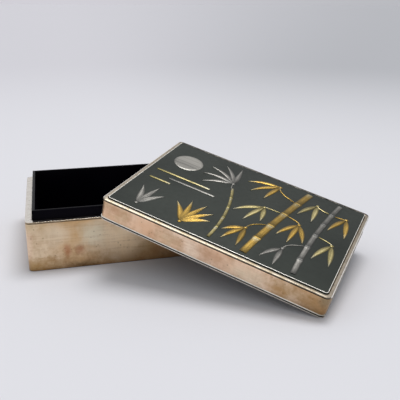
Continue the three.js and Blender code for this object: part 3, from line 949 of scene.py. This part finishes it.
# %% Band, foot wire, groove and rim frame of the lid
FOOT_WIRE, FOOT_WIRE_ROUND, FOOT_UNDERSIDE_ROUND = 0.58, 0.45, 0.1
FOOT_PROUD, FOOT_SUNK = 0.25, 0.15
FOOT_CUTS = (24, 16)
FOOT_WIRE_DARKENING, DULL_END = 1.3, 16
RIM_THINNED = 0.3
GROOVE_INSET, GROOVE_SHEET = 0.7, 0.3
LID_RIM_WIDTH = 4.5

lid_band_low, lid_band_high = span("lid_silver_band")
sheet_low = lid_band_low + Vector((FOOT_PROUD, FOOT_PROUD, FOOT_WIRE - FOOT_SUNK))
sheet_high = lid_band_high - Vector((FOOT_PROUD, FOOT_PROUD, 0))
# The lid band's dark head and foot are painted shade in the creases under the ledge and above the foot wire.
silver_band(
    "lid", sheet_low, sheet_high, lid_silver_painted_lighter, edges=(0.15, 0.3), bareness_dirt_and_shade=(-0.8, -0.9), wall_cuts=5, seed=11
)
lid_rim_low, lid_rim_high = span("lid_rim_frame")
lid_rim_high.z -= RIM_THINNED
flat_frame("lid", lid_rim_low, lid_rim_high, LID_RIM_WIDTH, LID_RIM_SHADE, lid_rim_silver)
lid_length, lid_width = (lid_rim_high - lid_rim_low).xy
print("the groove is", round(lid_band_low.z - lid_rim_high.z, 2), "mm high")

foot_high = lid_band_high.copy()
foot_high.z = lid_band_low.z + FOOT_WIRE
foot_wire = bmesh.new()
foot_lines = add_ring(foot_wire, band_section(lid_band_low, foot_high, SHEET), FOOT_CUTS)
soften(foot_wire, foot_lines[1], FOOT_WIRE_ROUND, 6)
soften(foot_wire, foot_lines[0], FOOT_UNDERSIDE_ROUND)
tarnish_and_painted_light = foot_wire.verts.layers.float.new("tarnish_and_painted_light")
# The foot wire darkens towards the lid's right end.
for vertex in foot_wire.verts:
    from_right = lid_band_high.x - vertex.co.x
    vertex[tarnish_and_painted_light] = FOOT_WIRE_DARKENING * max(0, 1 - from_right / DULL_END)
finish_piece(foot_wire, "foot_wire_of_lid", "lid", wire_silver)


def inner_ring(inset, width, radius, low, high):
    """The section of a ring whose outer face lies inside that of the lid."""
    outside = (lid_length - 2 * inset, lid_width - 2 * inset, radius)
    inside = (lid_length - 2 * (inset + width), lid_width - 2 * (inset + width), radius - width)
    return [(*outside, low), (*outside, high), (*inside, high), (*inside, low)]


# Painted shade: a near-black ring set in the groove above the lid's rim.
groove = bmesh.new()
groove_radius = CORNER_RADIUS - GROOVE_INSET
add_ring(groove, inner_ring(GROOVE_INSET, GROOVE_SHEET, groove_radius, lid_rim_high.z, lid_band_low.z))
finish_piece(groove, "groove_of_lid", "lid", groove_painted_shade)

# %% Ledge and wire
LEDGE_WIDTH = 2.5
PLATE_GAP = 0.3
SHOULDER_WIDTH = 0.65
WIRE_INSET, WIRE_WIDTH, WIRE_TALL, WIRE_CORNER = 0.18, 0.39, 0.22, 2.0
ROUND_OVER, FOOT_BROKEN, INNER_BROKEN = 0.7, 0.15, 0.35
SEAM_HEIGHT = 0.35
# How dark or bright each part of the ledge is painted; the last value is a painted highlight.
SEAM_PAINTED_SHADE, BACK_PAINTED_SHADE, END_TARNISH_AND_PAINTED_SHADE, FRONT_RIGHT_PAINTED_SHADE, END_EDGE_PAINTED_HIGHLIGHT = 1.6, 1.5, 1.0, 0.7, -0.8
REACH = 0.1    # how far past the ledge's width a point still counts as lying on it
BACK_STRIP = 1.0    # the wire's back run lies within this of the plate's edge

ledge_low, ledge_high = span("lid_border_frame")
ledge = bmesh.new()
ledge_lines = add_ring(ledge, band_section(ledge_low, ledge_high, LEDGE_WIDTH, WIRE_CORNER + PLATE_GAP))
soften(ledge, ledge_lines[1], ROUND_OVER, 6)
soften(ledge, ledge_lines[0], FOOT_BROKEN)
soften(ledge, ledge_lines[2], INNER_BROKEN)
tarnish_and_painted_light = ledge.verts.layers.float.new("tarnish_and_painted_light")
# Painted light on the ledge: shade along the back, at its foot and growing towards the front right, tarnish
# and shade at the ends, and a white highlight on the ends' rounded outer edges.
for vertex in ledge.verts:
    from_end = lid_length / 2 - abs(vertex.co.x)
    if lid_width / 2 - vertex.co.y < LEDGE_WIDTH + REACH:
        vertex[tarnish_and_painted_light] = BACK_PAINTED_SHADE
    elif vertex.co.z < ledge_low.z + SEAM_HEIGHT:
        vertex[tarnish_and_painted_light] = SEAM_PAINTED_SHADE
    elif from_end < LEDGE_WIDTH + REACH:
        vertex[tarnish_and_painted_light] = END_TARNISH_AND_PAINTED_SHADE if from_end > ROUND_OVER * 0.9 else END_EDGE_PAINTED_HIGHLIGHT
    elif vertex.co.x > 0:
        vertex[tarnish_and_painted_light] = FRONT_RIGHT_PAINTED_SHADE
finish_piece(ledge, "ledge_of_lid", "lid", ledge_silver, "lid_border_frame")

wire_low, wire_high = span("lid_wire_frame")
wire_low.z = wire_high.z - WIRE_TALL
plate_inset = LEDGE_WIDTH + PLATE_GAP
wire = bmesh.new()
wire_radius = WIRE_CORNER - WIRE_INSET
wire_lines = add_ring(
    wire, inner_ring(plate_inset + WIRE_INSET, WIRE_WIDTH, wire_radius, wire_low.z, wire_high.z)
)
soften(wire, wire_lines[1] + wire_lines[2], WIRE_TALL * 0.6, 4)
tarnish_and_painted_light = wire.verts.layers.float.new("tarnish_and_painted_light")
# Painted shade: the wire's back run is darkened almost to black.
for vertex in wire.verts:
    if lid_width / 2 - vertex.co.y < plate_inset + BACK_STRIP:
        vertex[tarnish_and_painted_light] = BACK_PAINTED_SHADE
finish_piece(wire, "wire_of_lid", "lid", wire_silver, "lid_wire_frame")

# %% Dark plate with its shoulder
SHOULDER_EDGE, PLATE_EDGE = 0.06, 0.12
PLATE_JOINT = 0.06
WIRE_SEAT = 0.01

plate_low, plate_high = span("lid_plaque")
shoulder_high = wire_low.z - WIRE_SEAT
plate_size = [side - 2 * plate_inset for side in (lid_length, lid_width)]
plate = bmesh.new()
shoulder_edges = add_plate(plate, *plate_size, WIRE_CORNER, plate_low.z, shoulder_high)
shoulder_top = max(plate.faces, key=lambda face: face.calc_center_median().z)
bmesh.ops.inset_region(plate, faces=[shoulder_top], thickness=SHOULDER_WIDTH + PLATE_JOINT)
raised = bmesh.ops.extrude_face_region(plate, geom=[shoulder_top])["geom"]
bmesh.ops.delete(plate, geom=[shoulder_top], context="FACES_ONLY")
bmesh.ops.translate(plate, vec=(0, 0, plate_high.z - shoulder_high), verts=points_of(raised))
soften(plate, edges_of(raised), PLATE_EDGE)
soften(plate, shoulder_edges, SHOULDER_EDGE)
finish_piece(plate, "plate_of_lid", "lid", plate_dark, "lid_plaque")

# %% Ceiling and skirt lining of the lid
LID_LINING = 1.2

lacquered_board("ceiling_of_lid", "lid", "lid_ceiling")
add_lining("lid", LID_LINING)

# %% Wooden core
core = [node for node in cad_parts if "core" in node or "rail" in node]
for node in core:
    dress_node(node, wood)
print("the core has", len(core), "pieces of cypress")

# %% [markdown]
# ## The inlaid picture
#
# Bamboo grows up the right side of the plate, with grass at its foot and bands of mist
# under a full moon on the left. Every motif is a strip: a leaf, a culm, a twig and a band
# of mist differ only in the line they follow, how wide they are along it and how they dome.
# So one function bends a fine grid into such a strip and closes it underneath. Modelled
# relief is worth its faces here, because raised metal lives from how its slopes catch light.

# %% A domed strip
STRIP_FOOT = -0.55
PLATE_FACE = plate_high.z
RELIEF = 0.48

shades = random.Random(7)


def grain_of(bm):
    """The attribute that tells the engraved finish where on its leaf or stem a point lies."""
    return bm.verts.layers.float_vector.get("grain") or bm.verts.layers.float_vector.new("grain")


def rounded(side):
    """How high a half round bar stands at a share of its half width."""
    return math.sqrt(1 - side * side * 0.96)


def add_strip(bm, path, half_width, rise, steps, columns, lengths=1):
    """Bends a grid along path(share) and domes it.

    path gives a point and a direction at a share of the length, half_width the half width
    there, and rise the height above the plate at a share along and a share across. The
    grain starts anew at each of the lengths of a stem.
    """
    grain = grain_of(bm)
    number = shades.random()
    made = bmesh.ops.create_grid(bm, x_segments=steps, y_segments=columns, size=1)["verts"]
    for vertex in made:
        share = (vertex.co.x + 1) / 2
        if lengths == 1:
            share = (1 - math.cos(math.pi * share)) / 2
        side = math.sin(vertex.co.y * math.pi / 2)
        point, direction = path(share)
        sideways = Vector((-direction.y, direction.x))
        spot = point + sideways * side * half_width(share)
        length = min(int(share * lengths), lengths - 1)
        vertex[grain] = (share * lengths - length, side, number + 0.3 * length)
        vertex.co = (spot.x, spot.y, PLATE_FACE + rise(share, side))
    faces = list({face for vertex in made for face in vertex.link_faces})
    lower = bmesh.ops.extrude_face_region(bm, geom=faces, use_keep_orig=True)["geom"]
    for vertex in points_of(lower):
        vertex.co.z = PLATE_FACE + STRIP_FOOT


def inlay(bm, name, finish, sharp=60):
    """Finishes an inlay, which stands for the node of the same name."""
    finish_piece(bm, name, "lid", finish, f"inlay_{name}", sharp)


print("strips are domed above the plate's face at", round(PLATE_FACE, 2), "mm")

# %% [markdown]
# ## Drawn lines
#
# A mist bar is straight, while a stem, a twig and a leaf are bent the way a draughtsman
# bends a line: it leaves its start towards a third point and arrives at its end from there.
# The formula of such a curve runs fast in the middle and slow near a sharp bend, which would
# bunch up the joints of a stem. So its length is measured first, in short steps, and a share
# of the length is looked up in that list.

# %% Straight and bent lines
LINE_STEPS = 60


def straight(start, length):
    """A level path to the right."""
    direction = Vector((1, 0))
    return lambda share: (start + direction * length * share, direction)


def bent(start, bow, end, first=0.0):
    """An evenly paced path that leaves start towards bow; first is the share that is left out."""
    def spot(turn):
        rest = 1 - turn
        return start * rest * rest + bow * 2 * rest * turn + end * turn * turn

    run = [0.0]
    for step in range(LINE_STEPS):
        run.append(run[-1] + (spot((step + 1) / LINE_STEPS) - spot(step / LINE_STEPS)).length)

    def path(share):
        wanted = (first + (1 - first) * share) * run[-1]
        step = min(max(bisect.bisect_left(run, wanted), 1), LINE_STEPS)
        turn = (step - 1 + (wanted - run[step - 1]) / (run[step] - run[step - 1])) / LINE_STEPS
        direction = (bow - start) * (1 - turn) + (end - bow) * turn
        return spot(turn), direction.normalized()

    return path


def path_length(path):
    """The length of a path, measured in short steps."""
    spots = [path(step / LINE_STEPS)[0] for step in range(LINE_STEPS + 1)]
    return sum((after - before).length for before, after in zip(spots, spots[1:]))


PICTURE_INSET = plate_inset + SHOULDER_WIDTH + PLATE_GAP
PICTURE_HALF = Vector((lid_length / 2 - PICTURE_INSET, lid_width / 2 - PICTURE_INSET))


def at(u, v):
    """A place in the picture, in shares of its half length and half width."""
    return Vector((u * PICTURE_HALF.x, v * PICTURE_HALF.y))


print("the picture measures", [round(2 * half, 1) for half in PICTURE_HALF], "mm")

# %% [markdown]
# ## Bamboo stems
#
# A stem is a row of hollow lengths parted by joints. At each joint the metal swells into two
# thin rings with a groove cut between them, and between joints it is filed round and a
# little waisted. The grain starts anew at each joint, so every length goes from dark at its
# foot to pale at its head, as the chaser shaded it.

# %% Stems
CULM_GROOVE, CULM_RING, CULM_FLARE = 0.5, 1.1, 1.6
CULM_STEP, CULM_COLUMNS = 0.4, 12


def add_culm(bm, path, width, joints):
    """A bamboo stem whose lengths flare at the joints, with a groove cut at each joint."""
    length = path_length(path)

    def to_joint(share):
        nearest = round(share * joints)
        if nearest in (0, joints):
            return length
        return abs(share * joints - nearest) * length / joints

    def half(share):
        flare = math.exp(-(to_joint(share) / CULM_FLARE) ** 2)
        groove = math.exp(-(to_joint(share) / CULM_GROOVE) ** 2)
        return width / 2 * (0.86 + 0.2 * flare - 0.14 * groove)

    def rise(share, side):
        ring = math.exp(-(to_joint(share) / CULM_RING) ** 2)
        groove = math.exp(-(to_joint(share) / (CULM_GROOVE * 0.8)) ** 2)
        return RELIEF * (0.8 + 0.2 * ring) * rounded(side) * (1 - 0.75 * groove)

    add_strip(bm, path, half, rise, int(length / CULM_STEP), CULM_COLUMNS, joints)


CULMS = {
    "old": (bent(at(0.26, -0.94), at(0.32, 0), at(0.46, 0.94)), 5.6, 5, yellow_gold),
    "grey": (bent(at(0.7, -0.94), at(0.67, 0), at(0.77, 0.94)), 4.2, 6, grey_silver),
    "young": (bent(at(-0.06, -0.94), at(-0.04, -0.3), at(-0.2, 0.3)), 2.6, 5, pale_gold),
}
for name, (path, width, joints, finish) in CULMS.items():
    stem = bmesh.new()
    add_culm(stem, path, width, joints)
    inlay(stem, f"culm_{name}", finish)

# %% [markdown]
# ## Leaves, sprays and grass
#
# A bamboo leaf is a short stalk and a blade that is widest a third of the way to its long
# point. It droops: a leaf that points sideways is bent down, one that hangs is straight. The
# blade is domed, folded along its middle vein and tipped a little to one side, so the two
# halves catch the light differently. Leaves overlap near the knob that holds them, so each
# is set a hair higher than the one before.

# %% Leaves, twigs and knobs
LEAF = (23.5, 3.7)
GRASS_BLADE = (26, 4.2)
LEAF_DROOP = 0.12
LEAF_POINT = 0.3
LEAF_LIFT = 0.02
LEAF_GRID, TWIG_GRID = (30, 12), (22, 6)
STALK_LENGTH, STALK_WIDTH = 1.2, 0.9
TWIG_WIDTH = 1.0
KNOB_RADIUS = 1.3


def add_leaf(bm, hub, degrees, length, width, lift):
    """A leaf from its knob to its point; lift is its height above the leaf below."""
    direction = Vector((math.cos(math.radians(degrees)), math.sin(math.radians(degrees))))
    sideways = Vector((-direction.y, direction.x))
    bow = hub + direction * length / 2 + sideways * 2 * LEAF_DROOP * direction.x * length
    stalk = STALK_LENGTH / length

    def half(share):
        blade = max(0, (share - stalk) / (1 - stalk))
        leaf = width * 1.3 * math.sqrt(blade) * (1 - blade)
        return max(leaf, STALK_WIDTH / 2 * (1 - blade) ** 3, LEAF_POINT / 2 * (1.2 - share))

    def rise(share, side):
        fullness = min(1, half(share) / (width * 0.4))
        vein = 0.2 * math.exp(-(side / 0.13) ** 2)
        dome = 1 - abs(side) ** 2.2
        tipped = 0.3 * side * (1 - side * side)
        return RELIEF * ((0.7 + 0.2 * fullness) * dome + fullness * (tipped - vein)) + lift

    add_strip(bm, bent(hub, bow, hub + direction * length), half, rise, *LEAF_GRID)


def add_knob(bm, centre):
    """The small round knob that holds a spray, flat underneath."""
    grain = grain_of(bm)
    made = bmesh.ops.create_uvsphere(bm, u_segments=20, v_segments=12, radius=KNOB_RADIUS)["verts"]
    for vertex in made:
        vertex[grain] = (0.3, vertex.co.y / KNOB_RADIUS, 0.5)
    bmesh.ops.scale(bm, vec=(1, 1, RELIEF / KNOB_RADIUS), verts=made)
    bmesh.ops.translate(bm, vec=(centre.x, centre.y, PLATE_FACE), verts=made)


def add_twig(bm, culm, share, hub):
    """A twig that starts at a stem's side and bends to a knob."""
    path, width = CULMS[culm][:2]
    start = path(share)[0]
    bow = Vector((hub.x, start.y)).lerp(hub, 0.4)
    first = (width / 2 + PLATE_GAP) / path_length(bent(start, bow, hub))

    def half(share):
        return TWIG_WIDTH / 2 * (1.1 - 0.25 * share)

    def rise(share, side):
        return RELIEF * 0.75 * rounded(side)

    add_strip(bm, bent(start, bow, hub, first), half, rise, *TWIG_GRID)


print("a leaf is", LEAF[0], "mm long and stands", RELIEF, "mm proud")

# %% Sprays and grass
YOUNG_LEAVES = [(96, 1), (124, 1.05), (152, 1.05), (182, 1), (212, 0.95)]
GOLD_BLADES = [(38, 0.75), (56, 0.95), (76, 1.05), (98, 1), (121, 0.85)]
# A spray is the place of its knob, its leaves with their directions and shares of a whole
# leaf, its metal, and the stem that its twig grows from with how far up it grows.
SPRAYS = {
    "young": (at(-0.23, 0.43), YOUNG_LEAVES, grey_silver, ("young", 0.95)),
    "top": (at(0.17, 0.83), [(202, 1), (230, 1.05), (258, 1)], yellow_gold, ("old", 0.8)),
    "middle": (at(0.17, 0.17), [(226, 1), (254, 1.05), (280, 0.8)], pale_gold, ("old", 0.6)),
    "low": (at(0.15, -0.45), [(224, 0.7), (247, 0.95), (275, 0.95)], yellow_gold, ("old", 0.4)),
    "hanging": (at(0.58, 0.725), [(246, 0.95), (274, 1)], pale_gold, ("grey", 5 / 6)),
    "between": (at(0.53, 0.085), [(245, 0.95), (268, 1.05), (292, 0.9)], yellow_gold, ("old", 0.6)),
    "foot": (at(0.52, -0.55), [(240, 0.8), (270, 0.85)], grey_silver, ("grey", 1 / 3)),
    "right": (at(0.88, 0.66), [(250, 1), (279, 1.05)], yellow_gold, ("grey", 5 / 6)),
    "far": (at(0.87, -0.08), [(251, 1), (279, 1)], pale_gold, ("grey", 0.5)),
}
TUFTS = {
    "gold": (at(-0.35, -0.88), GOLD_BLADES, yellow_gold),
    "grey": (at(-0.78, -0.88), [(58, 0.8), (82, 0.95), (108, 0.85)], grey_silver),
}


def spray(name, blade, hub, leaves, finish, twig=None):
    """A knob with its leaves, on a twig or, in a tuft of grass, on the ground."""
    bm = bmesh.new()
    if twig:
        add_twig(bm, *twig, hub)
    length, width = blade
    for order, (degrees, share) in enumerate(leaves):
        add_leaf(bm, hub, degrees, length * share, width, LEAF_LIFT * order)
    add_knob(bm, hub)
    inlay(bm, name, finish)


for name, facts in SPRAYS.items():
    spray(f"spray_{name}", LEAF, *facts)
for name, facts in TUFTS.items():
    spray(f"grass_{name}", GRASS_BLADE, *facts)

# %% [markdown]
# ## Mist and moon
#
# Mist is drawn as level bars with round ends, the old way of showing it. The moon is a thin
# silver disc, turned from a half profile and hatched with level lines, and its lower half
# is a shade darker, as if the mist had reached it.

# %% Bars of mist
MIST_WIDTH = 2
MIST_END = 0.03
MIST_GRID = (90, 8)
MISTS = {
    "high": (at(-0.65, 0.06), 41, pale_gold),
    "middle": (at(-0.52, -0.065), 35, grey_silver),
    "low": (at(-0.81, -0.19), 16, pale_gold),
}


def add_mist(bm, centre, length):
    """A bar of mist with round ends."""
    def half(share):
        from_end = min(share, 1 - share) * length
        if from_end >= MIST_WIDTH / 2:
            return MIST_WIDTH / 2
        return max(math.sqrt(MIST_WIDTH * from_end - from_end ** 2), MIST_END)

    def rise(share, side):
        return RELIEF * 0.8 * rounded(side) * min(1, half(share) / (MIST_WIDTH * 0.4))

    add_strip(bm, straight(centre - Vector((length / 2, 0)), length), half, rise, *MIST_GRID)


for name, (centre, length, finish) in MISTS.items():
    bar = bmesh.new()
    add_mist(bar, centre, length)
    inlay(bar, f"mist_{name}", finish)

# %% The moon
MOON_RADIUS = 10.5
MOON_STEPS = 72
MOON_SHARP = 35
MOON_EDGE = 0.05
MOON_DOME = ((0, 0.8), (0.5, 0.76), (0.85, 0.62), (0.96, 0.5))    # shares of radius and relief
MOON_PROFILE = [(MOON_RADIUS * out, RELIEF * up) for out, up in MOON_DOME] + [
    (MOON_RADIUS, MOON_EDGE), (MOON_RADIUS, STRIP_FOOT), (0, STRIP_FOOT)
]

moon = bmesh.new()
grain = grain_of(moon)
corners = [moon.verts.new((x, 0, PLATE_FACE + z)) for x, z in MOON_PROFILE]
outline = corners + [moon.edges.new(pair) for pair in zip(corners, corners[1:])]
whole_turn = {"angle": 2 * math.pi, "steps": MOON_STEPS, "use_merge": True}
bmesh.ops.spin(moon, geom=outline, cent=(0, 0, 0), axis=(0, 0, 1), **whole_turn)
bmesh.ops.remove_doubles(moon, verts=moon.verts, dist=0.001)
for vertex in moon.verts:
    vertex[grain] = (0.58 + 0.012 * vertex.co.y, 0.5 * vertex.co.y / MOON_RADIUS, 0.3)
bmesh.ops.translate(moon, vec=at(-0.75, 0.51).to_3d(), verts=moon.verts)
inlay(moon, "moon", grey_silver, MOON_SHARP)

# %% [markdown]
# ## Sizes
#
# The dressed box may not be bigger than the frame, so both are measured and kept side by
# side.

# %% Measure and finish
visual_low, visual_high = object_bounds()
corners = {"cad": [list(cad_low), list(cad_high)], "visual": [list(visual_low), list(visual_high)]}
for side, corner in (("from", visual_low), ("to", visual_high)):
    print("the visual model reaches", side, [round(c / MM, 2) for c in corner], "mm")
